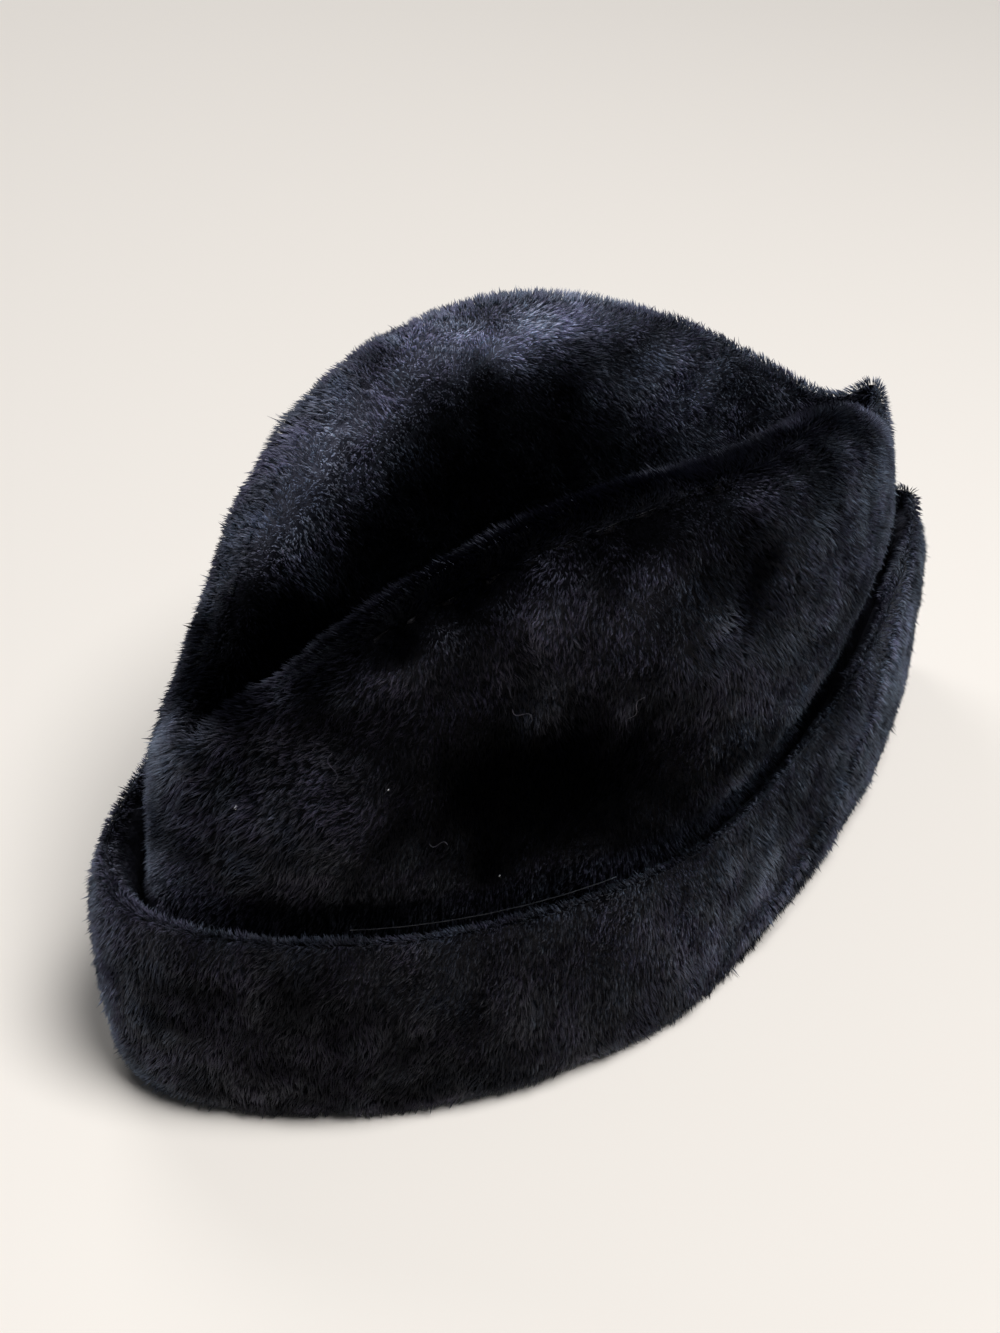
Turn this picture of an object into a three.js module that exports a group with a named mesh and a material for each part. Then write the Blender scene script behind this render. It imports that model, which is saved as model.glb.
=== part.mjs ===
// A fur cossack hat: a boat-shaped crown, pointed in front, whose lens-shaped top panel is pressed
// in between two ridges, and a deep turned-up cuff round its foot. Hide and pile are one wall.
// Millimetres. +X is the front point, +Y the wearer's left, +Z up. The origin is on the floor,
// under the middle of the cuff.

import * as THREE from 'three';
import { mergeVertices } from 'three/addons/utils/BufferGeometryUtils.js';

// Driving dimensions
const STEPS_ROUND = 72;          // columns round the hat
const HALF_LENGTH = 138;         // crown, at the groove over the cuff
const HALF_WIDTH = 69;
const WALL = 8;                  // hide and dense pile of the crown together
const CUFF_THICKNESS = { side: 10, ends: 12.5 };   // the cuff's hide and pile
const GAP = 0.35;                // between neighbouring pieces
const GROOVE_DEPTH = 12;         // how far the cuff's top edge stands free of the crown
const CROWN_FOOT = 1.2;          // the crown's lower edge over the floor
const TOP_HEIGHT = 155;          // ridges, at their highest
const VALLEY_DEPTH = 50;         // the pressed-in middle line of the top, under the ridges

// The groove over the cuff lies a little higher at the two ends than at the sides
const GROOVE_HEIGHT = { side: 60, frontRise: 5, backRise: 4 };

// Plans run from their widest place to each tip: y = halfWidth * (1 - u^power)^close, with u
// running from 0 at the widest place, where the curve is eased round, to 1 at the tip.
const GROOVE_PLAN = {
  widestAt: -14,
  halfWidth: HALF_WIDTH,
  front: { reach: HALF_LENGTH + 12, power: 1.3, close: 0.88 },
  back: { reach: HALF_LENGTH - 17, power: 1.7, close: 0.6 },
};
const RIDGE_PLAN = {
  widestAt: 5,
  halfWidth: 54,
  front: { reach: 117, power: 1.65, close: 1 },
  back: { reach: 121, power: 2.0, close: 0.92 },
};
const EASE_ROUND = 0.1;          // how far from the widest place a plan stays eased, as a share
const ROUNDING = 1e-3;           // smaller than any real distance here
const SLOPE_STEP = 0.5;          // how far apart two heights are taken for a slope
// What the wall takes off a plan at its side and at its two tips
const WALL_INSET = { side: WALL, front: 13, back: 12 };

// The ridges seen from the side: they drop from their top towards each end
const RIDGE_RISE = {
  topAt: 3,
  front: { reach: 119, drop: 58, power: 2.2 },
  back: { reach: 121, drop: 54, power: 2.7 },
};
const BEAK = { at: 122, rise: 16, spread: 7 };           // the upturned front point

// The valley between the ridges: where its crease ends and how suddenly it deepens from either
// tip. In its section each side rolls off gently from the ridge to a brow, dropping there by a
// share of the depth, and then falls steeply to a narrow floor. The brow lies nearer the middle
// line towards the back, and nearer the ridge towards the front.
const VALLEY = {
  front: { end: 107, power: 3, brow: 0.12 },
  back: { end: -108, power: 3.5, brow: 0.6 },
  brow: 0.47,
  browDrop: 0.14,
  floor: 0.94,
};
const BROW_START = 0.8;          // the steep fall sets in this share of the way to the brow
const SHOULDER = { width: 13, height: 21, atTip: 0.22 };  // the ridge's rounded outer edge
const WALL_BULGE = 4;            // the side wall's fullness, half way up
const TIP_POWER = 4;             // how closely what belongs to the two tips keeps to them

// Dents and swells of the soft crown: middle, spread and push along each axis
const DENTS = [
  // the prow under the front point, and the full back end
  { x: 134, y: 0, z: 92, spreadX: 22, spreadY: 26, spreadZ: 18, pushX: 4, pushY: 0, pushZ: 0 },
  { x: -122, y: 8, z: 102, spreadX: 20, spreadY: 26, spreadZ: 16, pushX: -4, pushY: 1.5, pushZ: 0 },
  // the right side: a low swell, a wide hollow, a swell under the ridge, a dimple and a fold
  { x: -104, y: -36, z: 88, spreadX: 26, spreadY: 24, spreadZ: 13, pushX: -2, pushY: -4, pushZ: 0 },
  { x: -46, y: -66, z: 89, spreadX: 34, spreadY: 26, spreadZ: 15, pushX: 0, pushY: 11, pushZ: 0 },
  { x: -24, y: -68, z: 122, spreadX: 28, spreadY: 20, spreadZ: 12, pushX: 0, pushY: -5, pushZ: 0 },
  { x: 6, y: -68, z: 129, spreadX: 8, spreadY: 16, spreadZ: 8.5, pushX: 0, pushY: 7, pushZ: 0 },
  { x: -14, y: -69, z: 105, spreadX: 9, spreadY: 14, spreadZ: 5.5, pushX: 0, pushY: 4, pushZ: 0 },
  { x: 46, y: -52, z: 100, spreadX: 24, spreadY: 20, spreadZ: 16, pushX: 0, pushY: -3, pushZ: 0 },
  // the left side: two shallow swells with a hollow between them
  { x: -62, y: 60, z: 106, spreadX: 26, spreadY: 22, spreadZ: 18, pushX: 0, pushY: 3, pushZ: 0 },
  { x: -8, y: 66, z: 98, spreadX: 22, spreadY: 22, spreadZ: 17, pushX: 0, pushY: -3.5, pushZ: 0 },
  { x: 48, y: 50, z: 104, spreadX: 26, spreadY: 22, spreadZ: 18, pushX: 0, pushY: 3, pushZ: 0 },
  // the top: the right ridge falls away behind its brow, and both valley sides lie unevenly
  { x: 22, y: -40, z: 146, spreadX: 24, spreadY: 15, spreadZ: 26, pushX: 0, pushY: 0, pushZ: -7 },
  { x: -46, y: 30, z: 132, spreadX: 26, spreadY: 16, spreadZ: 26, pushX: 0, pushY: 0, pushZ: -4 },
  { x: 60, y: 16, z: 120, spreadX: 20, spreadY: 12, spreadZ: 22, pushX: 0, pushY: 0, pushZ: 4 },
];

const FUR_COLOUR = 0x15161c;
const furMaterial = () => new THREE.MeshStandardMaterial({
  color: FUR_COLOUR,
  roughness: 0.95,
  metalness: 0,
});

const nearTip = (turn) => Math.cos(turn) ** TIP_POWER;
const endOf = (shape, x, middle) => (x >= middle ? shape.front : shape.back);

// How far along a plan x lies, from 0 at the widest place to 1 at the tip
function alongPlan(plan, x) {
  return Math.min(1, Math.abs(x - plan.widestAt) / endOf(plan, x, plan.widestAt).reach);
}

function halfWidthAt(plan, x) {
  const end = endOf(plan, x, plan.widestAt);
  const eased = (u) => Math.hypot(u, EASE_ROUND) ** end.power - EASE_ROUND ** end.power;
  const narrowing = Math.min(1, eased(alongPlan(plan, x)) / eased(1));
  return plan.halfWidth * (1 - narrowing) ** end.close;
}

// The point of a plan for a turn that starts at the front tip and goes round by the left side
function planPoint(plan, turn) {
  const along = Math.cos(turn);
  const reach = along >= 0 ? plan.front.reach : plan.back.reach;
  const x = plan.widestAt + reach * along;
  const atTip = Math.abs(Math.sin(turn)) < ROUNDING;
  return new THREE.Vector2(x, atTip ? 0 : Math.sign(Math.sin(turn)) * halfWidthAt(plan, x));
}

// A smooth level direction out of a plan, as on an ellipse of its size
function outward(plan, turn) {
  const halfLength = (plan.front.reach + plan.back.reach) / 2;
  const out = new THREE.Vector2(Math.cos(turn) / halfLength, Math.sin(turn) / plan.halfWidth);
  return out.normalize();
}

function insetPlan(plan, inset) {
  return {
    ...plan,
    halfWidth: plan.halfWidth - inset.side,
    front: { ...plan.front, reach: plan.front.reach - inset.front },
    back: { ...plan.back, reach: plan.back.reach - inset.back },
  };
}

function grooveHeight(turn) {
  const along = Math.cos(turn);
  const rise = along >= 0 ? GROOVE_HEIGHT.frontRise : GROOVE_HEIGHT.backRise;
  return GROOVE_HEIGHT.side + rise * along ** 2;
}

function ridgeHeight(x) {
  const end = endOf(RIDGE_RISE, x, RIDGE_RISE.topAt);
  const u = Math.abs(x - RIDGE_RISE.topAt) / end.reach;
  const beak = BEAK.rise * Math.exp(-(((x - BEAK.at) / BEAK.spread) ** 2));
  return TOP_HEIGHT - end.drop * u ** end.power + beak;
}

// The valley's section, from the ridge (0) to the middle line (1)
function valleyShare(across, brow) {
  const roll = Math.min(1, across / brow) ** 2;
  const fall = THREE.MathUtils.smoothstep(across, brow * BROW_START, VALLEY.floor);
  return VALLEY.browDrop * roll + (1 - VALLEY.browDrop) * fall;
}

// Height of the top's outer face over a point of its plan
function topHeight(x, y) {
  const half = halfWidthAt(RIDGE_PLAN, x);
  const across = half > 0 ? Math.max(0, 1 - Math.abs(y) / half) : 0;
  const end = endOf(VALLEY, x, RIDGE_PLAN.widestAt);
  const along = alongPlan(RIDGE_PLAN, x);
  const depth = VALLEY_DEPTH * (1 - along ** end.power);
  return ridgeHeight(x) - depth * valleyShare(across, THREE.MathUtils.lerp(VALLEY.brow, end.brow, along));
}

// Height of its inner face, a wall's thickness under it, measured square to the slope
function underTopHeight(x, y) {
  const away = Math.abs(y);
  const slopeX = (topHeight(x + SLOPE_STEP, away) - topHeight(x - SLOPE_STEP, away)) / (2 * SLOPE_STEP);
  const slopeY = (topHeight(x, away + SLOPE_STEP) - topHeight(x, away)) / SLOPE_STEP;
  return topHeight(x, y) - WALL * Math.hypot(1, slopeX, slopeY);
}

function dented(p) {
  const moved = p.clone();
  for (const dent of DENTS) {
    const far = ((p.x - dent.x) / dent.spreadX) ** 2
      + ((p.y - dent.y) / dent.spreadY) ** 2
      + ((p.z - dent.z) / dent.spreadZ) ** 2;
    const share = Math.exp(-far);
    moved.add(new THREE.Vector3(dent.pushX, dent.pushY, dent.pushZ).multiplyScalar(share));
  }
  return moved;
}

const at = (plan, z) => new THREE.Vector3(plan.x, plan.y, z);

// One section of the crown's side wall: up its outer face to the ridge, and down inside
const WALL_ROWS = [0, 0.16, 0.34, 0.52, 0.7, 0.86];
const SHOULDER_ROWS = [0, 0.3, 0.6, 1];
const INNER_ROWS = [0, 0.3, 0.6, 1];

function sideSection(turn) {
  const groove = planPoint(GROOVE_PLAN, turn);
  const grooveTop = grooveHeight(turn);
  const ridge = planPoint(RIDGE_PLAN, turn);
  const size = THREE.MathUtils.lerp(1, SHOULDER.atTip, nearTip(turn));
  const shoulder = ridge.clone().addScaledVector(outward(RIDGE_PLAN, turn), SHOULDER.width * size);
  const ridgeTop = ridgeHeight(ridge.x);
  const shoulderTop = ridgeTop - SHOULDER.height * size;
  const inner = planPoint(insetPlan(GROOVE_PLAN, WALL_INSET), turn);
  const section = [at(groove, CROWN_FOOT), at(groove, grooveTop - GROOVE_DEPTH)];
  const out = outward(GROOVE_PLAN, turn);
  const bulge = (share) => WALL_BULGE * (1 - nearTip(turn)) * Math.sin(Math.PI * share);
  for (const share of WALL_ROWS) {
    const height = THREE.MathUtils.lerp(grooveTop, shoulderTop, share);
    section.push(at(groove.clone().lerp(shoulder, share).addScaledVector(out, bulge(share)), height));
  }
  for (const share of SHOULDER_ROWS) {
    const angle = share * Math.PI / 2;
    const height = shoulderTop + SHOULDER.height * size * Math.sin(angle);
    section.push(at(shoulder.clone().lerp(ridge, 1 - Math.cos(angle)), height));
  }
  const underRidge = underTopHeight(ridge.x, ridge.y);
  for (const share of INNER_ROWS) {
    const height = THREE.MathUtils.lerp(underRidge, grooveTop, share);
    section.push(at(ridge.clone().lerp(inner, share).addScaledVector(out, bulge(share)), height));
  }
  section.push(at(inner, CROWN_FOOT));
  return section.map(dented);
}

// One run of the top panel: from the crease out to the ridge on top, and back underneath
const TOP_ROWS = [1, 0.84, 0.7, 0.58, 0.46, 0.34, 0.22, 0.1, 0];
const UNDER_ROWS = [0, 0.15, 0.35, 0.55, 0.75, 1];
const UNDER_CREASE_INSET = 12;   // the crease under the panel is this much shorter at each end

function topSection(turn) {
  const seam = GAP * (1 + nearTip(turn));
  const edge = planPoint(RIDGE_PLAN, turn).addScaledVector(outward(RIDGE_PLAN, turn), -seam);
  const crease = (inset) => {
    const middle = (VALLEY.front.end + VALLEY.back.end) / 2;
    const half = (VALLEY.front.end - VALLEY.back.end) / 2 - inset;
    return new THREE.Vector2(middle + half * Math.cos(turn), 0);
  };
  const outer = TOP_ROWS.map((across) => {
    const p = edge.clone().lerp(crease(0), across);
    return at(p, topHeight(p.x, p.y));
  });
  const inner = UNDER_ROWS.map((across) => {
    const p = edge.clone().lerp(crease(UNDER_CREASE_INSET), across);
    return at(p, underTopHeight(p.x, p.y));
  });
  return [...outer, ...inner].reverse().map(dented);
}

// The cuff's section: how far it lies out of the crown, and its height as a share of the
// groove's with a lift added
const CUFF_ROWS = [
  { out: 0.0, share: 0, lift: 1.5 },
  { out: 0.1, share: 0, lift: 0 },
  { out: 0.5, share: 0, lift: 0 },
  { out: 0.78, share: 0, lift: 3.5 },
  { out: 0.94, share: 0.2, lift: 0 },
  { out: 1.0, share: 0.45, lift: 0 },
  { out: 1.0, share: 0.7, lift: 0 },
  { out: 0.95, share: 0.88, lift: 0 },
  { out: 0.82, share: 1, lift: 0.5 },
  { out: 0.58, share: 1, lift: 2 },
  { out: 0.33, share: 1, lift: 0.5 },
  { out: 0.2, share: 1, lift: -4 },
  { out: 0.0, share: 1, lift: -GROOVE_DEPTH },
];

// Where the cuff stands fuller or lies flatter: degrees round from the front tip by the left
const CUFF_SWELLS = [
  { turn: 140, spread: 16, push: -2.5 },
  { turn: 166, spread: 18, push: 2 },
  { turn: 236, spread: 24, push: 2 },
  { turn: 279, spread: 14, push: -3.8 },
  { turn: 310, spread: 16, push: 1.2 },
  { turn: 62, spread: 20, push: 1.5 },
];

function cuffThickness(turn) {
  const plain = THREE.MathUtils.lerp(CUFF_THICKNESS.side, CUFF_THICKNESS.ends, nearTip(turn));
  const degrees = THREE.MathUtils.radToDeg(turn);
  const swell = (row) => row.push * Math.exp(-(((degrees - row.turn) / row.spread) ** 2));
  return CUFF_SWELLS.reduce((sum, row) => sum + swell(row), plain);
}

function cuffSection(turn) {
  const groove = planPoint(GROOVE_PLAN, turn);
  const out = outward(GROOVE_PLAN, turn);
  const grooveTop = grooveHeight(turn);
  const thickness = cuffThickness(turn);
  return CUFF_ROWS.map((row) => {
    const p = groove.clone().addScaledVector(out, GAP + row.out * thickness);
    return at(p, row.share * grooveTop + row.lift);
  });
}

// Joins sections round the hat into one closed skin. A closed section is a ring of points; an
// open one is a run whose two ends lie on the hat's middle line, where both sides meet.
function skin(sectionAt, closed) {
  const sections = [];
  for (let i = 0; i < STEPS_ROUND; i += 1) sections.push(sectionAt((2 * Math.PI * i) / STEPS_ROUND));
  const rows = sections[0].length;
  const positions = sections.flat().flatMap((p) => p.toArray());
  const index = [];
  for (let i = 0; i < STEPS_ROUND; i += 1) {
    const next = (i + 1) % STEPS_ROUND;
    for (let j = 0; j < (closed ? rows : rows - 1); j += 1) {
      const above = (j + 1) % rows;
      const corners = [i * rows + j, next * rows + j, next * rows + above, i * rows + above];
      index.push(corners[0], corners[1], corners[2], corners[0], corners[2], corners[3]);
    }
  }
  const raw = new THREE.BufferGeometry();
  raw.setAttribute('position', new THREE.Float32BufferAttribute(positions, 3));
  raw.setIndex(index);
  return withoutSlivers(mergeVertices(raw, ROUNDING));
}

// Drops the triangles whose corners fell together when the points were merged
function withoutSlivers(geometry) {
  const corners = geometry.index.array;
  const kept = [];
  for (let k = 0; k < corners.length; k += 3) {
    const [a, b, c] = corners.subarray(k, k + 3);
    if (a !== b && b !== c && c !== a) kept.push(a, b, c);
  }
  geometry.setIndex(kept);
  geometry.computeVertexNormals();
  return geometry;
}

function furPiece(name, geometry) {
  const piece = new THREE.Mesh(geometry, furMaterial());
  piece.name = name;
  return piece;
}

const hat = new THREE.Group();
hat.name = 'cossack_hat';
hat.add(furPiece('crown_side', skin(sideSection, true)));
hat.add(furPiece('crown_top', skin(topSection, false)));
hat.add(furPiece('cuff', skin(cuffSection, true)));

// The swells differ from side to side, so the hat is centred over the origin at the end
const middle = new THREE.Box3().setFromObject(hat).getCenter(new THREE.Vector3());
hat.position.set(-middle.x, -middle.y, 0);

export default hat;
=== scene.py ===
"""Dresses the cossack hat: dark hide skins, and over them short near-black fur of closed slivers.

Metres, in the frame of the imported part: +X is the hat's pointed front, +Y its left, +Z up.
"""

import bmesh
import bpy
import numpy as np
from mathutils import Matrix, Vector, kdtree
from mathutils.bvhtree import BVHTree


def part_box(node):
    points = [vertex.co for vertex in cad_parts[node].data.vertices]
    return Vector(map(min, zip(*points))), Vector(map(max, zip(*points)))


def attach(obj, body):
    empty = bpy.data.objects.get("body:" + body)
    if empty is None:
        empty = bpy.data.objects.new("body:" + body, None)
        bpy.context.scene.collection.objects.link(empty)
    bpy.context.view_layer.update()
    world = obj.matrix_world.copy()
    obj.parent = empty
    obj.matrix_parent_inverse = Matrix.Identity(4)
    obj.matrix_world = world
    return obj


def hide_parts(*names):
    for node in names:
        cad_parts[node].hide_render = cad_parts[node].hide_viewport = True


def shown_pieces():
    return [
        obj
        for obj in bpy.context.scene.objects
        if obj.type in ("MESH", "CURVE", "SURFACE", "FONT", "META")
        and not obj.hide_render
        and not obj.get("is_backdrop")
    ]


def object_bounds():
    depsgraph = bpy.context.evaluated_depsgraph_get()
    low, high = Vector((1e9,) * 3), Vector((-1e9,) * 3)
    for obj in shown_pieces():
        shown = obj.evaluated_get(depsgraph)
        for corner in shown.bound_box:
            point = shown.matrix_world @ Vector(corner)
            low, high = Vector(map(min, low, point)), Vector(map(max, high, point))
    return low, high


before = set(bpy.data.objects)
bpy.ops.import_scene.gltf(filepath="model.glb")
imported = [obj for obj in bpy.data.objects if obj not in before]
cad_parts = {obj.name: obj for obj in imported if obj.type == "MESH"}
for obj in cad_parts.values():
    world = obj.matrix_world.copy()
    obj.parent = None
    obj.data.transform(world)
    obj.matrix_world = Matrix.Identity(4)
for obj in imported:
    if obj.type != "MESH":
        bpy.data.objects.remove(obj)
cad_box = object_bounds()

MM = 0.001
_, CUFF_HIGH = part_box("cuff")
HAT_MIDDLE = (cad_box[0] + cad_box[1]) / 2
HALF_LENGTH = CUFF_HIGH.x
HALF_WIDTH = CUFF_HIGH.y
GROOVE_HEIGHT = CUFF_HIGH.z - 7 * MM   # of the groove over the cuff, at the hat's sides
GROOVE_RISE = 5 * MM                   # and how much higher it runs at the two ends

# How the fur grows on each piece: the direction that it is combed to, its length in millimetres and
# its lift off the surface in degrees. The direction's part across the hat holds on the left alone.
FUR = {
    "crown_side": {"lie": (-0.65, -1.0, -0.5), "length": 4.0, "lift": 56},
    "crown_top": {"lie": (-0.65, -1.0, -0.5), "length": 4.0, "lift": 56},
    "cuff": {"lie": (-0.7, 0.0, -0.6), "length": 4.2, "lift": 52},
}
HAIRS_PER_MM2 = 1.7
HAIR_WIDTH = 0.32 * MM
WIDTH_SPREAD = 0.25            # how far the hairs' widths and lengths differ, in shares
LENGTH_SPREAD = 0.25
LENGTH_WAVES = 0.15            # how far the length rises and falls in patches
BEND_RISE = 0.09               # how far a hair's middle lies outwards of the line from root to tip,
SWAY_SPREAD = 0.05             # and beside it, in shares of its length
STRAY_DEGREES = 20             # how far single hairs stray from the lie around them
ROLL_DEGREES = 60              # and how far their flat sides are turned
LIFT_SPREAD_DEGREES = 5        # how far their lifts differ
LIFT_DEGREES = 16              # how far the lift rises and falls in patches
SWIRL_DEGREES = 65             # how far the lie turns in wide swirls
CURL_DEGREES = 50              # and in small curls
LOCK_PULL = 0.4                # how far hairs lean together into locks
LOCK_SPACING = 2.2 * MM
GUARD_SHARE = 0.03             # the share of guard hairs, and how much longer
GUARD_LENGTH = 1.3             # and steeper they are
GUARD_LIFT_DEGREES = 10
PILE_DEPTH = 2.6 * MM          # how far the hide's fur side lies under the pile's outer face
ROOT_DEPTH = 0.3 * MM          # and how far under that the hairs begin
FLOOR_CLEARANCE = 0.3 * MM
HIDDEN_DEPTH = 9 * MM          # how far down the groove the crown still bears fur
GROOVE_SINK = 0.9 * MM         # and how much deeper it is rooted there
GROOVE_LENGTH = 0.75           # the share of their length that hairs have beside the groove,
BEAK_LENGTH = 0.7              # on the pointed front,
BACK_LENGTH = 1.5              # at the crown's back end
RIDGE_LENGTH = 1.12            # and on the right ridge's top
OVER_SEAM = 1.1                # how much the fur there is combed over the crown's seam,
CREST_LOOK = 0.35              # where the face looks less than this to the left

CREASE_DEGREES = 45            # edges of the solids that are sharper stay sharp in the skins
SEAM_REACH = 6 * MM            # how far from the crown's seam the fur's direction is evened out
SEAM_OVERLAP = 0.8 * MM        # how far the top's hide reaches under that of the side
SKIN_WAVES = 0.4 * MM          # how uneven the hide's fur side is

# A fold in the cuff's right side, down from its top at the front. The fur parts along its ridge,
# over a narrow hollow. Places along the hat, heights, widths and depths in millimetres, and how
# strong a painted highlight the fur has along the ridge and a painted shade in the hollow.
FOLD = {
    "x": (-10, 28, 62, 89, 113, 132),
    "z": (8, 16, 30, 54, 64, 70),
    "reach": 4.5,
    "rise": 1.6,
    "hollow": 1.4,
    # how strong the painted highlight on the ridge and the painted shade in the hollow are
    "lighter": 0.8,
    "darker": 1.1,
}

# Patches of painted light and shade on the pile, for this one light and view: darker where shade
# falls, as down the valley and in the hollows, and lighter where light falls, as on the left ridge.
# Their middles and reaches in millimetres, and how many times as light they make it
PAINTED_LIGHT_PATCHES = [
    {"at": (-16, 16, 116), "reach": (57, 21, 32), "tone": 0.14},    # down in the valley
    {"at": (-90, 8, 107), "reach": (28, 20, 18), "tone": 0.12},     # at its back end
    {"at": (26, 26, 140), "reach": (22, 10, 8), "tone": 0.4},       # and up its left wall
    {"at": (-110, -8, 111), "reach": (13, 10, 9), "tone": 0.3},     # the right ridge's top
    {"at": (-88, -20, 128), "reach": (18, 13, 11), "tone": 0.35},
    {"at": (-62, -33, 144), "reach": (28, 14, 10), "tone": 0.14},
    {"at": (-18, -42, 154), "reach": (34, 16, 10), "tone": 0.16},
    {"at": (28, -43, 150), "reach": (30, 18, 13), "tone": 0.15},
    {"at": (70, -34, 138), "reach": (26, 18, 14), "tone": 0.3},
    {"at": (-76, -23, 138), "reach": (24, 12, 11), "tone": 0.25},   # and its crest
    {"at": (-36, -35, 152), "reach": (34, 13, 11), "tone": 0.25},
    {"at": (-1, -67, 140), "reach": (16, 12, 14), "tone": 0.28},    # the crease down to the dimple
    {"at": (6, -66, 130), "reach": (9, 9, 11), "tone": 0.4},        # and the dimple
    {"at": (-53, -58, 90), "reach": (39, 20, 21), "tone": 0.08},    # the hollow low on the right
    {"at": (-12, -70, 72), "reach": (36, 12, 12), "tone": 0.42},    # and along that side's foot
    {"at": (64, -53, 88), "reach": (30, 14, 13), "tone": 0.45},
    {"at": (-20, 38, 157), "reach": (60, 16, 15), "tone": 5.0},     # the left ridge
    {"at": (-76, 25, 141), "reach": (31, 18, 16), "tone": 3.0},
    {"at": (-46, 26, 143), "reach": (24, 11, 10), "tone": 3.2},
    {"at": (32, 38, 151), "reach": (36, 14, 12), "tone": 2.4},
    {"at": (90, 10, 110), "reach": (40, 24, 18), "tone": 1.9},      # the front of the valley
    {"at": (62, 20, 130), "reach": (30, 14, 14), "tone": 3.2},
    {"at": (-44, -66, 119), "reach": (16, 9, 8), "tone": 2.6},      # the swells on the right side
    {"at": (-40, -60, 138), "reach": (32, 12, 9), "tone": 2.6},
    {"at": (36, -65, 114), "reach": (16, 12, 16), "tone": 1.5},
    {"at": (-112, -30, 88), "reach": (20, 20, 16), "tone": 1.3},    # that side's back end
    {"at": (-84, -40, 118), "reach": (14, 12, 9), "tone": 0.6},
    {"at": (-82, -36, 128), "reach": (20, 10, 8), "tone": 1.8},
    {"at": (-22, -71, 111), "reach": (12, 9, 8), "tone": 0.55},     # beside the swells
    {"at": (-120, 5, 102), "reach": (13, 16, 13), "tone": 3.6},     # the crown's back end
    {"at": (95, -36, 60), "reach": (40, 18, 24), "tone": 1.7},      # the cuff's right side
    {"at": (-15, -78, 42), "reach": (40, 20, 24), "tone": 1.3},
    {"at": (-114, -45, 58), "reach": (26, 16, 10), "tone": 1.5},
]
PATCH_WANDER = 7 * MM          # how far the patches' edges wander
MOTTLE = (0.6, 0.5)            # how much the tone changes in wide and in small spots


class SmoothNoise:
    """A repeatable smooth random value for points in space, from -1 to 1."""

    CELLS = 32

    def __init__(self, seed, scale):
        self.table = np.random.default_rng(seed).uniform(-1, 1, (self.CELLS,) * 3)
        self.scale = scale

    def __call__(self, points):
        place = np.asarray(points) / self.scale
        low = np.floor(place).astype(int)
        part = place - low
        part = part * part * (3 - 2 * part)
        total = np.zeros(len(place))
        for corner in np.ndindex(2, 2, 2):
            share = np.prod(np.where(corner, part, 1 - part), axis=1)
            x, y, z = ((low + corner) % self.CELLS).T
            total += share * self.table[x, y, z]
        return total


def unit(vectors):
    """The vectors at length one."""
    return vectors / (np.linalg.norm(vectors, axis=1)[:, None] + 1e-12)


def ramp(values, start, end):
    """0 up to start, 1 from end on, and a soft rise between them, both in millimetres."""
    share = ((values - start * MM) / ((end - start) * MM)).clip(0, 1)
    return share * share * (3 - 2 * share)


# Materials


def new_material(name):
    material = bpy.data.materials.new(name)
    material.use_nodes = True
    nodes = material.node_tree.nodes
    return material, nodes, material.node_tree.links, nodes["Principled BSDF"]


def noise_ramp(nodes, links, scale, detail, stops):
    """A noise over the object's own coordinates, turned into colours by its stops."""
    where = nodes.new("ShaderNodeTexCoord")
    noise = nodes.new("ShaderNodeTexNoise")
    noise.inputs["Scale"].default_value = scale
    noise.inputs["Detail"].default_value = detail
    links.new(where.outputs["Object"], noise.inputs["Vector"])
    colours = nodes.new("ShaderNodeValToRGB")
    elements = colours.color_ramp.elements
    elements.remove(elements[1])
    for i, (position, colour) in enumerate(stops):
        element = elements[0] if i == 0 else elements.new(position)
        element.position = position
        element.color = (*colour, 1)
    links.new(noise.outputs["Fac"], colours.inputs["Fac"])
    return colours.outputs["Color"]


def multiplied(nodes, links, first, second):
    mix = nodes.new("ShaderNodeMix")
    mix.data_type = "RGBA"
    mix.blend_type = "MULTIPLY"
    mix.inputs["Factor"].default_value = 1
    links.new(first, mix.inputs["A"])
    links.new(second, mix.inputs["B"])
    return mix.outputs["Result"]


def add_bump(nodes, links, shader, scale, strength, depth):
    where = nodes.new("ShaderNodeTexCoord")
    noise = nodes.new("ShaderNodeTexNoise")
    noise.inputs["Scale"].default_value = scale
    noise.inputs["Detail"].default_value = 4
    bump = nodes.new("ShaderNodeBump")
    bump.inputs["Strength"].default_value = strength
    bump.inputs["Distance"].default_value = depth
    links.new(where.outputs["Object"], noise.inputs["Vector"])
    links.new(noise.outputs["Fac"], bump.inputs["Height"])
    links.new(bump.outputs["Normal"], shader.inputs["Normal"])


def scaled_by_painted_light_and_mottle(nodes, links, shader, colour, levels):
    """Scales the shader's colour and levels by each point's painted light, shade and mottle.
    Returns its node.
    """
    tone = nodes.new("ShaderNodeAttribute")
    tone.attribute_name = "tone"
    links.new(multiplied(nodes, links, colour, tone.outputs["Color"]), shader.inputs["Base Color"])
    for name, full in levels.items():
        scaled = nodes.new("ShaderNodeMath")
        scaled.operation = "MULTIPLY"
        scaled.inputs[1].default_value = full
        links.new(tone.outputs["Fac"], scaled.inputs[0])
        links.new(scaled.outputs["Value"], shader.inputs[name])
    return tone


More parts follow.
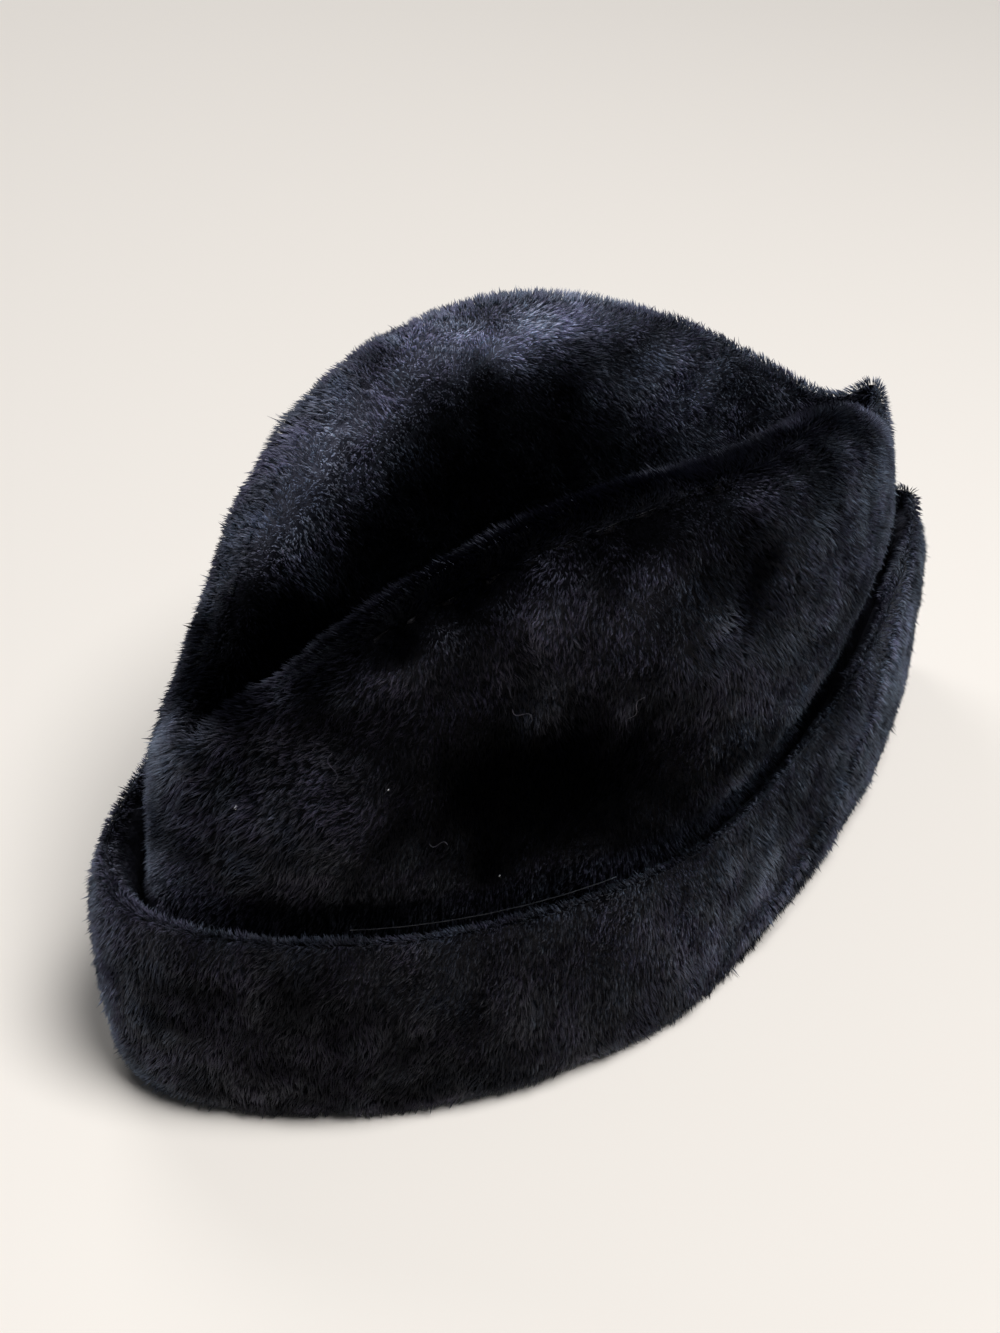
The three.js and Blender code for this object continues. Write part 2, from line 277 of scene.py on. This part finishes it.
def fur_material():
    """Near-black hair with navy, violet and grey casts, a little lighter and darker hair by hair.
    Where the tone, painted light and shade with a mottle, is under one, it also turns into a dull
    black by as much, as painted shade."""
    material, nodes, links, shader = new_material("fur")
    cast = noise_ramp(nodes, links, 55, 3, [
        (0.30, (0.026, 0.029, 0.047)),
        (0.45, (0.034, 0.032, 0.041)),
        (0.58, (0.038, 0.031, 0.054)),
        (0.72, (0.040, 0.044, 0.056)),
    ])
    hair = noise_ramp(nodes, links, 1400, 1, [(0.3, (0.65,) * 3), (0.7, (1.35,) * 3)])
    levels = {"Specular IOR Level": 0.3, "Sheen Weight": 0.12}
    tone = scaled_by_painted_light_and_mottle(nodes, links, shader, multiplied(nodes, links, cast, hair), levels)
    # The dull black that the fur turns into where shade is painted
    dark = nodes.new("ShaderNodeBsdfDiffuse")
    dark.inputs["Color"].default_value = (0.001, 0.001, 0.002, 1)
    mix = nodes.new("ShaderNodeMixShader")
    links.new(tone.outputs["Fac"], mix.inputs["Fac"])
    links.new(dark.outputs["BSDF"], mix.inputs[1])
    links.new(shader.outputs["BSDF"], mix.inputs[2])
    links.new(mix.outputs["Shader"], nodes["Material Output"].inputs["Surface"])
    shader.inputs["Roughness"].default_value = 0.7
    shader.inputs["Sheen Roughness"].default_value = 0.5
    shader.inputs["Sheen Tint"].default_value = (0.62, 0.78, 0.9, 1)
    return material


def underfur_material():
    """The dense roots that show between the hairs, darker and lighter by the painted light, shade
    and mottle.
    """
    material, nodes, links, shader = new_material("underfur")
    cast = noise_ramp(nodes, links, 260, 4, [
        (0.35, (0.006, 0.006, 0.009)),
        (0.70, (0.013, 0.013, 0.019)),
    ])
    scaled_by_painted_light_and_mottle(nodes, links, shader, cast, {"Specular IOR Level": 0.2})
    shader.inputs["Roughness"].default_value = 0.8
    add_bump(nodes, links, shader, 900, 0.8, 0.8 * MM)
    return material


def hide_material():
    """The flesh side of the dyed hide: dark suede, seen inside and along cut edges."""
    material, nodes, links, shader = new_material("hide")
    cast = noise_ramp(nodes, links, 70, 5, [
        (0.30, (0.016, 0.014, 0.015)),
        (0.55, (0.026, 0.023, 0.023)),
        (0.75, (0.040, 0.036, 0.036)),
    ])
    links.new(cast, shader.inputs["Base Color"])
    shader.inputs["Roughness"].default_value = 0.85
    shader.inputs["Specular IOR Level"].default_value = 0.3
    shader.inputs["Sheen Weight"].default_value = 0.15
    shader.inputs["Sheen Roughness"].default_value = 0.4
    add_bump(nodes, links, shader, 1100, 0.35, 0.2 * MM)
    return material


def fibre_material(name, dark, light):
    """Single fibres and raw edges, lighter and darker along their length."""
    material, nodes, links, shader = new_material(name)
    cast = noise_ramp(nodes, links, 320, 2, [(0.35, dark), (0.65, light)])
    links.new(cast, shader.inputs["Base Color"])
    shader.inputs["Roughness"].default_value = 0.55
    return material


# Skins


def smooth_copy(node):
    """Points and triangles of the node's mesh, merged and subdivided once with sharp edges held."""
    work = bmesh.new()
    work.from_mesh(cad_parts[node].data)
    bmesh.ops.remove_doubles(work, verts=work.verts, dist=0.01 * MM)
    bmesh.ops.recalc_face_normals(work, faces=work.faces)
    crease = work.edges.layers.float.new("crease_edge")
    for edge in work.edges:
        if edge.calc_face_angle(0) > np.radians(CREASE_DEGREES):
            edge[crease] = 1
    mesh = bpy.data.meshes.new(node + "_work")
    work.to_mesh(mesh)
    work.free()
    holder = bpy.data.objects.new(node + "_work", mesh)
    bpy.context.scene.collection.objects.link(holder)
    modifier = holder.modifiers.new("finer", "SUBSURF")
    modifier.levels = 1
    modifier.render_levels = 1
    view = bpy.context.evaluated_depsgraph_get()
    made = bpy.data.meshes.new_from_object(holder.evaluated_get(view))
    made.calc_loop_triangles()
    points = np.zeros(len(made.vertices) * 3)
    made.vertices.foreach_get("co", points)
    corners = np.zeros(len(made.loop_triangles) * 3, int)
    made.loop_triangles.foreach_get("vertices", corners)
    bpy.data.objects.remove(holder)
    bpy.data.meshes.remove(mesh)
    bpy.data.meshes.remove(made)
    return points.reshape(-1, 3), corners.reshape(-1, 3)


def face_normals(points, corners):
    """Normals of the triangles, as long as twice their areas."""
    a, b, c = (points[corners[:, k]] for k in range(3))
    return np.cross(b - a, c - a)


def bears_fur(node, points, corners):
    """Which triangles lie on the hat's outside: those of the top that face up, and those of the
    other pieces that face up or out of the hat's plan."""
    normals = unit(face_normals(points, corners))
    if node == "crown_top":
        return normals[:, 2] > 0
    middles = points[corners].mean(1)
    outward = unit(middles[:, :2] / np.array([HALF_LENGTH, HALF_WIDTH]) ** 2)
    facing = (normals[:, :2] * outward).sum(1)
    return (facing > 0.15) | (normals[:, 2] > 0.1) & (middles[:, 2] > GROOVE_HEIGHT)


def corner_normals(points, corners, chosen):
    """Normals at the points, from the chosen triangles alone."""
    total = np.zeros_like(points)
    weighted = face_normals(points, corners)[chosen]
    for k in range(3):
        np.add.at(total, corners[chosen][:, k], weighted)
    return unit(total)


def even_seam(skins):
    """Evens out the normals of skins over the seam between them, so that their fur meets there."""
    bearing = [np.unique(corners[furred]) for _, corners, furred, _ in skins]
    places = np.concatenate([skin[0][used] for skin, used in zip(skins, bearing)])
    looks = np.concatenate([skin[3][used] for skin, used in zip(skins, bearing)])
    tree = kdtree.KDTree(len(places))
    for i, place in enumerate(places):
        tree.insert(place, i)
    tree.balance()
    for (points, _, _, normals), used in zip(skins, bearing):
        for i in used:
            _, near, away = zip(*tree.find_range(points[i], SEAM_REACH))
            weights = 1 - np.array(away) / SEAM_REACH
            normals[i] = (looks[list(near)] * weights[:, None]).sum(0)
        normals[used] = unit(normals[used])


def mesh_object(name, points, faces, materials, picks=None):
    """A smooth-shaded mesh in the scene. Picks say which of the materials each face has."""
    mesh = bpy.data.meshes.new(name)
    mesh.vertices.add(len(points))
    mesh.vertices.foreach_set("co", np.asarray(points, np.float32).ravel())
    mesh.loops.add(faces.size)
    mesh.loops.foreach_set("vertex_index", faces.astype(np.int32).ravel())
    mesh.polygons.add(len(faces))
    mesh.polygons.foreach_set("loop_start", np.arange(len(faces), dtype=np.int32) * faces.shape[1])
    for material in materials:
        mesh.materials.append(material)
    if picks is not None:
        mesh.polygons.foreach_set("material_index", picks.astype(np.int32))
    mesh.polygons.foreach_set("use_smooth", np.full(len(faces), True))
    mesh.update(calc_edges=True)
    made = bpy.data.objects.new(name, mesh)
    bpy.context.scene.collection.objects.link(made)
    return made


def add_piece(name, points, faces, materials, picks=None):
    """A piece of the hat's dress, which rides its only body."""
    piece = mesh_object(name, points, faces, materials, picks)
    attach(piece, "root")
    return piece


def bear_painted_light_and_mottle(piece, painted_light_and_mottle):
    """Writes each of the piece's points' painted light, shade and mottle, as its tone, for its
    material to read.
    """
    layer = piece.data.attributes.new("tone", "FLOAT", "POINT")
    layer.data.foreach_set("value", painted_light_and_mottle.astype(np.float32))


def furred_skin(node):
    """The node's finer mesh: its points, its triangles, which of them bear fur, and its normals."""
    points, corners = smooth_copy(node)
    furred = bears_fur(node, points, corners)
    return points, corners, furred, corner_normals(points, corners, furred)


def add_skin(node, points, corners, furred, normals, materials):
    """The hide of a node: its fur side lies a pile's depth in, and its other faces where they were.
    From 2 to 8 mm under its lowest fur, the crown's hide comes out again, so that no floor shows
    between it and the cuff. The cuff's is all as dark as underfur but for its lower edge."""
    touched = np.isin(np.arange(len(points)), corners[furred])
    uneven = SmoothNoise(11, 6 * MM)(points) * SKIN_WAVES
    inset = np.where(touched, PILE_DEPTH + uneven + groove_depth(node, points), 0)
    if node == "crown_side":
        inset *= ramp(points[:, 2] - groove_height(points) + HIDDEN_DEPTH, -8, -2)
    bare = ~furred
    if node == "cuff":
        bare &= unit(face_normals(points, corners))[:, 2] < -0.5
    sunk = points - normals * inset[:, None]
    if node == "crown_top":
        rim = touched & np.isin(np.arange(len(points)), corners[bare])
        sunk[rim] += corner_normals(points, corners, bare)[rim] * SEAM_OVERLAP
    sunk[:, 2] = np.maximum(sunk[:, 2], points[:, 2].min())
    skin = add_piece(node + "_hide", sunk, corners, materials, picks=bare)
    # Its underfur bears the same painted light, shade and mottle as the fur
    bear_painted_light_and_mottle(skin, painted_light_and_mottle_at(points))
    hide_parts(node)


# Fur


def groove_height(places):
    """The height of the groove between crown and cuff, beside the places."""
    return GROOVE_HEIGHT + GROOVE_RISE * (places[:, 0] / HALF_LENGTH) ** 2


def groove_depth(node, places):
    """How much deeper the crown's fur is rooted beside the groove, to keep the groove open."""
    if node != "crown_side":
        return np.zeros(len(places))
    return GROOVE_SINK * (1 - ramp(places[:, 2] - groove_height(places), 3, 9))


def fold_height(places):
    """How far the places lie above the ridge of the cuff's fold, and how much the fold counts."""
    ridge = np.interp(places[:, 0], np.array(FOLD["x"]) * MM, np.array(FOLD["z"]) * MM)
    share = ramp(places[:, 0], FOLD["x"][0], FOLD["x"][1]) * (places[:, 1] < 0)
    return places[:, 2] - ridge, share


def fold_relief(places):
    """How far the fold raises the cuff's fur, or lowers it."""
    above, share = fold_height(places)
    reach = FOLD["reach"] * MM
    ridge = FOLD["rise"] * np.exp(-(above / reach) ** 2)
    hollow = FOLD["hollow"] * np.exp(-((above + 1.8 * reach) / reach) ** 2)
    return share * (ridge - hollow) * MM


def painted_fold_light_and_shade(places):
    """Painted highlight along the fold's ridge, and painted shade in the hollow under it."""
    above, share = fold_height(places)
    reach = FOLD["reach"] * MM
    ridge = np.exp(-(above / (0.6 * reach)) ** 2)
    hollow = np.exp(-((above + 1.6 * reach) / reach) ** 2)
    return np.exp(share * (FOLD["lighter"] * ridge - FOLD["darker"] * hollow))


def scatter(points, faces, normals, rng):
    """Evenly spread random places on the faces, with the smooth normals there."""
    areas = np.linalg.norm(face_normals(points, faces), axis=1) / 2
    total = np.cumsum(areas)
    count = int(total[-1] * HAIRS_PER_MM2 / MM ** 2)
    marks = (np.arange(count) + rng.random(count)) / count * total[-1]
    picked = faces[np.searchsorted(total, marks).clip(max=len(faces) - 1)]
    u, v = rng.random((2, count))
    over = u + v > 1
    u[over], v[over] = 1 - u[over], 1 - v[over]
    shares = np.stack([1 - u - v, u, v], axis=1)[:, :, None]
    return (points[picked] * shares).sum(1), unit((normals[picked] * shares).sum(1))


def turned(vectors, axes, angles):
    """The vectors turned about the axes, each square to its own."""
    return vectors * np.cos(angles)[:, None] + np.cross(axes, vectors) * np.sin(angles)[:, None]


def lie_of(node, places, normals):
    """The direction along the surface that each hair is combed to."""
    lie = np.tile(np.array(FUR[node]["lie"]), (len(places), 1))
    lie[:, 1] *= (0.5 + 0.5 * np.tanh(places[:, 1] / (10 * MM))) * (1 - ramp(places[:, 0], 30, 80))
    if node == "crown_top":
        lie[:, 1] -= OVER_SEAM * (places[:, 1] < 0) * np.clip(1 - normals[:, 1] / CREST_LOOK, 0, 1)
    parting = np.zeros(len(places))
    if node == "cuff":
        above, share = fold_height(places)
        parting = share * np.exp(-(above / (2 * FOLD["reach"] * MM)) ** 2)
        lie[:, 2] += 1.5 * parting * np.tanh(above / (1.5 * MM))
    lie = unit(lie - normals * (lie * normals).sum(1)[:, None])
    swirl = SmoothNoise(21, 38 * MM)(places) + 0.6 * SmoothNoise(22, 17 * MM)(places)
    curl = SmoothNoise(23, 6 * MM)(places)
    angles = np.radians(SWIRL_DEGREES) * swirl + np.radians(CURL_DEGREES) * curl
    return turned(lie, normals, angles * (1 - 0.7 * parting))


def length_share(node, places):
    """The share of its length that the fur has at the places."""
    over_groove = np.abs(places[:, 2] - groove_height(places))
    share = 1 - (1 - GROOVE_LENGTH) * (1 - ramp(over_groove, 2, 9))
    if node == "cuff":
        return share
    if node == "crown_top":
        share *= 1 + (RIDGE_LENGTH - 1) * (places[:, 1] < 0) * ramp(places[:, 2], 105, 130)
    beak = ramp(places[:, 0], 105, 132)
    back = ramp(-places[:, 0], 92, 122) * ramp(places[:, 2], 70, 90)
    return share * (1 - (1 - BEAK_LENGTH) * beak) * (1 + (BACK_LENGTH - 1) * back)


def painted_light_and_mottle_at(places):
    """The painted light and shade of the patches at the places, times a random mottle."""
    wander = np.stack([SmoothNoise(31 + k, 12 * MM)(places) for k in range(3)], axis=1)
    moved = places + wander * PATCH_WANDER
    tone = np.zeros(len(places))
    for row in PAINTED_LIGHT_PATCHES:
        away = (moved - np.array(row["at"]) * MM) / (np.array(row["reach"]) * MM)
        tone += np.log(row["tone"]) * np.exp(-(away ** 2).sum(1) ** 1.5)
    wide, small = MOTTLE
    tone += wide * SmoothNoise(41, 20 * MM)(places) + small * SmoothNoise(42, 6 * MM)(places)
    return np.exp(tone)


def gathered(places, tips, rng):
    """Leans the tips towards those of the lock that each hair belongs to."""
    jitter = rng.uniform(-0.3, 0.3, (len(places), 3)) * LOCK_SPACING
    cells = np.floor((places + jitter) / LOCK_SPACING)
    _, lock = np.unique(cells.astype(int), axis=0, return_inverse=True)
    lock = lock.ravel()
    size = np.bincount(lock)
    middle = np.stack([np.bincount(lock, tips[:, k]) / size for k in range(3)], axis=1)
    return tips + (middle[lock] - tips) * LOCK_PULL


# A hair is a closed sliver of four triangles: root, two sides at its bend, and tip
HAIR_FACES = np.array([[0, 2, 1], [1, 2, 3], [0, 1, 3], [0, 3, 2]])


def add_fur(node, skin, material, rng):
    """Grows the node's hairs and joins them into one piece for each side of the hat."""
    rule = FUR[node]
    places, normals = scatter(*skin, rng)
    if node == "crown_side":
        seen = places[:, 2] > groove_height(places) - HIDDEN_DEPTH
        places, normals = places[seen], normals[seen]
    count = len(places)
    guard = rng.random(count) < GUARD_SHARE
    stray = rng.normal(0, np.radians(STRAY_DEGREES), count)
    lie = turned(lie_of(node, places, normals), normals, stray)
    patches = SmoothNoise(24, 9 * MM)(places) + 0.6 * SmoothNoise(26, 24 * MM)(places)
    lift = rule["lift"] + LIFT_DEGREES * patches + rng.normal(0, LIFT_SPREAD_DEGREES, count)
    lift = np.radians(lift + GUARD_LIFT_DEGREES * guard)
    length = rule["length"] * MM * (1 + LENGTH_SPREAD * rng.uniform(-1, 1, count))
    length *= (1 + LENGTH_WAVES * SmoothNoise(25, 13 * MM)(places)) * length_share(node, places)
    length *= np.where(guard, GUARD_LENGTH, 1)
    # Painted light and shade with a random mottle, and on the cuff the fold's painted highlight and
    # shade
    painted_light_and_mottle = painted_light_and_mottle_at(places)
    if node == "cuff":
        painted_light_and_mottle *= painted_fold_light_and_shade(places)
        places = places + normals * fold_relief(places)[:, None]
    along = lie * np.cos(lift)[:, None] + normals * np.sin(lift)[:, None]
    roots = places - normals * (PILE_DEPTH + ROOT_DEPTH + groove_depth(node, places))[:, None]
    tips = gathered(places, roots + along * length[:, None], rng)
    across = unit(np.cross(tips - roots, normals))
    sway = rng.normal(0, SWAY_SPREAD, count) * length
    middles = (roots + tips) / 2 + normals * (length * BEND_RISE)[:, None] + across * sway[:, None]
    roll = rng.normal(0, np.radians(ROLL_DEGREES), count)
    across = across * np.cos(roll)[:, None] + normals * np.sin(roll)[:, None]
    across *= (HAIR_WIDTH / 2 * (1 + WIDTH_SPREAD * rng.uniform(-1, 1, count)))[:, None]
    hairs = np.stack([roots, middles - across, middles + across, tips], axis=1)
    hairs[:, :, 2] = np.maximum(hairs[:, :, 2], FLOOR_CLEARANCE)
    for side, chosen in (("left", places[:, 1] >= 0), ("right", places[:, 1] < 0)):
        starts = np.arange(chosen.sum())[:, None, None] * 4
        faces = (HAIR_FACES[None] + starts).reshape(-1, 3)
        piece = add_piece(f"{node}_fur_{side}", hairs[chosen].reshape(-1, 3), faces, [material])
        bear_painted_light_and_mottle(piece, np.repeat(painted_light_and_mottle[chosen], 4))


# Small things: the cuff's raw edge, loose hairs and lint


def tube(path, radius, sides=5):
    """A closed round tube along the path, as points and triangles."""
    path = np.asarray(path, float)
    along = unit(np.gradient(path, axis=0))
    side = unit(np.cross(along, (0.13, 0.21, 0.97)))
    square = np.cross(side, along)
    turn = np.arange(sides) * 2 * np.pi / sides
    ring = np.cos(turn)[:, None] * side[:, None] + np.sin(turn)[:, None] * square[:, None]
    rings = path[:, None] + radius * ring
    faces = []
    for i in range(len(path) - 1):
        for k in range(sides):
            a, b = i * sides + k, i * sides + (k + 1) % sides
            faces += [(a, b, b + sides), (a, b + sides, a + sides)]
    last = (len(path) - 1) * sides
    for k in range(1, sides - 1):
        faces += [(0, k + 1, k), (last, last + k, last + k + 1)]
    return rings.reshape(-1, 3), np.array(faces)


def joined(tubes):
    """Several tubes as one set of points and triangles."""
    starts = np.cumsum([0] + [len(points) for points, _ in tubes[:-1]])
    points = np.concatenate([points for points, _ in tubes])
    return points, np.concatenate([faces + start for (_, faces), start in zip(tubes, starts)])


# Where the raw edge of the cuff's hide shows on the right side, and its radius, in millimetres
RAW_EDGE = {"from": -106, "to": -40, "radius": 0.15}

# Loose hairs on the crown's right side: places along the hat, heights and lengths in millimetres,
# and how far they lean over
LOOSE_HAIRS = [
    {"x": -100, "z": 104, "length": 9.0, "lean": 0.1},
    {"x": -62, "z": 116, "length": 6.0, "lean": 0.9},
    {"x": -36, "z": 112, "length": 7.0, "lean": -0.6},
    {"x": -84, "z": 84, "length": 5.0, "lean": 1.2},
]
LOOSE_HAIR_RADIUS = 0.09 * MM

# Specks of lint there, in millimetres too
LINT = [
    {"x": -118, "z": 92, "size": 0.55},
    {"x": -92, "z": 100, "size": 0.25},
    {"x": -70, "z": 70, "size": 0.25},
]


def ray_tree(node):
    """The node's solid, to cast rays at."""
    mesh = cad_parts[node].data
    return BVHTree.FromPolygons([v.co for v in mesh.vertices], [f.vertices for f in mesh.polygons])


def outer_face(node, x, z):
    """The place on the node's right side at a length and a height, and the face's normal there."""
    start = Vector((x, -2 * HALF_WIDTH, z))
    place, normal, _, _ = ray_tree(node).ray_cast(start, Vector((0, 1, 0)))
    return np.array(place), np.array(normal)


def add_raw_edge(material):
    """The thin cut edge of the cuff's hide, beside the groove."""
    tree = ray_tree("cuff")
    path = []
    for x in np.arange(RAW_EDGE["from"], RAW_EDGE["to"], 2.0) * MM:
        level = groove_height(np.array([[x, 0, 0]]))[0]
        inner, _, _, _ = tree.ray_cast(Vector((x, 0, level)), Vector((0, -1, 0)))
        top, _, _, _ = tree.ray_cast(Vector((x, inner.y - 0.8 * MM, 2 * level)), Vector((0, 0, -1)))
        path.append((x, inner.y + 0.1 * MM, top.z + 0.3 * MM))
    add_piece("cuff_raw_edge", *tube(path, RAW_EDGE["radius"] * MM), [material])


def add_loose_hairs(material):
    """A few curly hairs that have come loose and lie on the crown."""
    strands = []
    for row in LOOSE_HAIRS:
        place, normal = outer_face("crown_side", row["x"] * MM, row["z"] * MM)
        side = np.cross(normal, (0, 0, 1))
        up = np.cross(side, normal)
        share = np.linspace(-0.5, 0.5, 17)[:, None]
        climb = up * np.cos(row["lean"]) + side * np.sin(row["lean"])
        sweep = side * np.cos(row["lean"]) - up * np.sin(row["lean"])
        path = place + normal * 1.2 * MM + climb * share * row["length"] * MM
        path = path + sweep * np.sin(share * 2 * np.pi) * 0.16 * row["length"] * MM
        strands.append(tube(path, LOOSE_HAIR_RADIUS))
    add_piece("loose_hairs", *joined(strands), [material])


def add_lint(material):
    """Specks of pale lint caught in the fur."""
    specks = []
    for row in LINT:
        place, normal = outer_face("crown_side", row["x"] * MM, row["z"] * MM)
        half = np.array([0.7, 0.2, 0.4]) * row["size"] * MM
        middle = place + normal * MM
        specks.append(tube([middle - half, middle + half], row["size"] * MM * 0.6, sides=6))
    add_piece("lint", *joined(specks), [material])


# Stage, light and camera

# The camera's place: turned and tilted, in degrees, its distance to the plane through the origin
# square to its line of sight, and how far that line passes beside and above the origin, in metres.
# Its lens and sensor are in millimetres.
CAMERA = {
    "turn": 40.17,
    "tilt": 37.18,
    "distance": 0.690,
    "beside": -0.016,
    "above": 0.053,
    "lens": 63.2,
    "sensor": 36,
}

# Soft lights, each for the hat or the floor alone: the way to it, in degrees round from the camera
# to the picture's right and in degrees up, its size in metres, and its power in watts
FLOOR_WHITE = (1.0, 0.98, 0.96)
COOL = (0.86, 0.88, 1.0)
TEAL = (0.62, 0.82, 1.0)
LIGHTS = [
    {"on": "floor", "round": 45, "up": 68, "size": 0.8, "power": 26, "colour": FLOOR_WHITE},
    {"on": "floor", "round": -150, "up": 40, "size": 0.8, "power": 5, "colour": FLOOR_WHITE},
    {"on": "hat", "round": 180, "up": 50, "size": 2.2, "power": 34, "colour": COOL},
    {"on": "hat", "round": -105, "up": 40, "size": 1.4, "power": 18, "colour": COOL},
    {"on": "hat", "round": 120, "up": 12, "size": 1.4, "power": 25, "colour": TEAL},
    {"on": "hat", "round": -115, "up": 10, "size": 1.2, "power": 14, "colour": TEAL},
    {"on": "hat", "round": 90, "up": 30, "size": 1.4, "power": 6, "colour": COOL},
]
LIGHT_DISTANCE = 1.5
FLOOR_WIDTH = 6.0
WORLD_STRENGTH = 0.06


def camera_axes():
    """The ways to the picture's right, level away from the camera, and along its line of sight."""
    turn = np.radians(CAMERA["turn"])
    tilt = np.radians(CAMERA["tilt"])
    right = Vector((np.cos(turn), -np.sin(turn), 0))
    level = Vector((np.sin(turn), np.cos(turn), 0))
    ahead = level * np.cos(tilt) - Vector((0, 0, np.sin(tilt)))
    return right, level, ahead


def add_camera():
    right, _, ahead = camera_axes()
    up = right.cross(ahead)
    data = bpy.data.cameras.new("camera")
    data.lens = CAMERA["lens"]
    data.sensor_width = CAMERA["sensor"]
    data.clip_start = 0.01
    camera = bpy.data.objects.new("camera", data)
    place = right * CAMERA["beside"] + up * CAMERA["above"] - ahead * CAMERA["distance"]
    turned_to = Matrix((right, up, -ahead)).transposed().to_4x4()
    camera.matrix_world = Matrix.Translation(place) @ turned_to
    bpy.context.scene.collection.objects.link(camera)
    bpy.context.scene.camera = camera


def add_stage():
    """A plain pale floor that is wide enough to fill the view."""
    material, _, _, shader = new_material("pale_floor")
    shader.inputs["Base Color"].default_value = (0.86, 0.83, 0.79, 1)
    shader.inputs["Roughness"].default_value = 0.9
    shader.inputs["Specular IOR Level"].default_value = 0.1
    half = FLOOR_WIDTH / 2
    points = np.array([(-half, -half, 0), (half, -half, 0), (half, half, 0), (-half, half, 0)])
    floor = mesh_object("floor", points, np.array([[0, 1, 2, 3]]), [material])
    floor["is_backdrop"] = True
    return floor


def add_light(row, lit):
    """A soft round light that shines at the hat, and lights only what is in its collection."""
    right, level, _ = camera_axes()
    around, up = np.radians(row["round"]), np.radians(row["up"])
    away = (right * np.sin(around) - level * np.cos(around)) * np.cos(up)
    away = away + Vector((0, 0, np.sin(up)))
    light = bpy.data.lights.new(row["on"] + "_light", "AREA")
    light.shape = "DISK"
    light.size = row["size"]
    light.energy = row["power"]
    light.color = row["colour"]
    made = bpy.data.objects.new(light.name, light)
    made.location = HAT_MIDDLE + away * LIGHT_DISTANCE
    made.rotation_mode = "QUATERNION"
    made.rotation_quaternion = (-away).to_track_quat("-Z", "Y")
    made.light_linking.receiver_collection = lit[row["on"]]
    bpy.context.scene.collection.objects.link(made)


def add_world():
    """A faint even light from all round."""
    world = bpy.data.worlds.new("world")
    world.use_nodes = True
    background = world.node_tree.nodes["Background"]
    background.inputs["Color"].default_value = (0.93, 0.95, 1.0, 1)
    background.inputs["Strength"].default_value = WORLD_STRENGTH
    bpy.context.scene.world = world


add_camera()
add_world()
floor = add_stage()
underfur = underfur_material()
hide = hide_material()
fur = fur_material()
rng = np.random.default_rng(7)
skins = {node: furred_skin(node) for node in FUR}
even_seam([skins["crown_side"], skins["crown_top"]])
for node, (points, corners, furred, normals) in skins.items():
    add_skin(node, points, corners, furred, normals, [underfur, hide])
    add_fur(node, (points, corners[furred], normals), fur, rng)
add_raw_edge(fibre_material("raw_edge", (0.02, 0.02, 0.022), (0.06, 0.058, 0.06)))
add_loose_hairs(fibre_material("loose_hair", (0.03, 0.028, 0.04), (0.07, 0.06, 0.085)))
add_lint(fibre_material("lint", (0.5, 0.5, 0.5), (0.75, 0.75, 0.75)))

lit = {on: bpy.data.collections.new("lit_" + on) for on in ("hat", "floor")}
lit["floor"].objects.link(floor)
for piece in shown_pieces():
    lit["hat"].objects.link(piece)
for row in LIGHTS:
    add_light(row, lit)
bpy.context.scene.view_settings.view_transform = "Standard"
